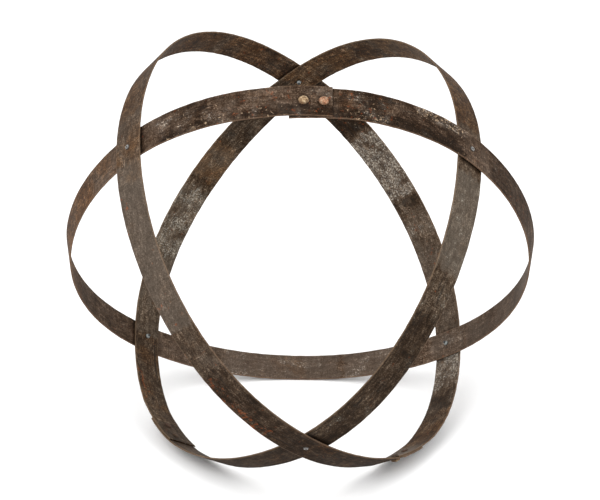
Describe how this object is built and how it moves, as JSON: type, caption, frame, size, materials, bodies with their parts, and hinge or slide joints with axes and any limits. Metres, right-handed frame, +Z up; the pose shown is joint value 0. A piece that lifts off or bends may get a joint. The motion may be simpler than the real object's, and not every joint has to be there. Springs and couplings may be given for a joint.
{
  "type": "wreath frame",
  "caption": "Globe-shaped wreath frame of rusted barrel hoops, crossed square to one another and riveted where they cross and where their ends lap.",
  "frame": {"origin": "centre of the object's footprint on the surface it stands on, under the middle of its box", "axes": "+Z up, +X to the right and -Y to the front, where the middle hoop's near arc crosses at the top; the rear upper crossing lies straight behind the centre, along +Y"},
  "size_m": [0.552, 0.5244, 0.4718],
  "materials": {
    "outer_hoop": "old hoop steel, weathered dark brown with rust and grey patches, rough",
    "middle_hoop": "old hoop steel, weathered dark brown with rust, pale speckle and dark streaks, rough",
    "inner_hoop": "old hoop steel, weathered dark brown with rust and grey patches, rough",
    "lap_rivet": "steel rivet with dry pinkish-tan rust, rough",
    "blind_rivet": "new aluminium, satin",
    "mandrel": "plated steel, dull"
  },
  "bodies": {
    "root": {"outer_hoop": "outer_hoop", "middle_hoop": "middle_hoop", "inner_hoop": "inner_hoop", "outer_hoop_lap_rivet_1": "lap_rivet", "outer_hoop_lap_rivet_2": "lap_rivet", "middle_hoop_lap_rivet_1": "lap_rivet", "middle_hoop_lap_rivet_2": "lap_rivet", "inner_hoop_lap_rivet_1": "lap_rivet", "inner_hoop_lap_rivet_2": "lap_rivet", "front_left_upper_rivet": "blind_rivet", "front_right_upper_rivet": "blind_rivet", "rear_upper_rivet": "blind_rivet", "rear_right_lower_rivet": "blind_rivet", "rear_left_lower_rivet": "blind_rivet", "front_lower_rivet": "blind_rivet", "front_left_upper_mandrel": "mandrel", "front_right_upper_mandrel": "mandrel", "rear_upper_mandrel": "mandrel", "rear_right_lower_mandrel": "mandrel", "rear_left_lower_mandrel": "mandrel", "front_lower_mandrel": "mandrel"}
  },
  "joints": []
}
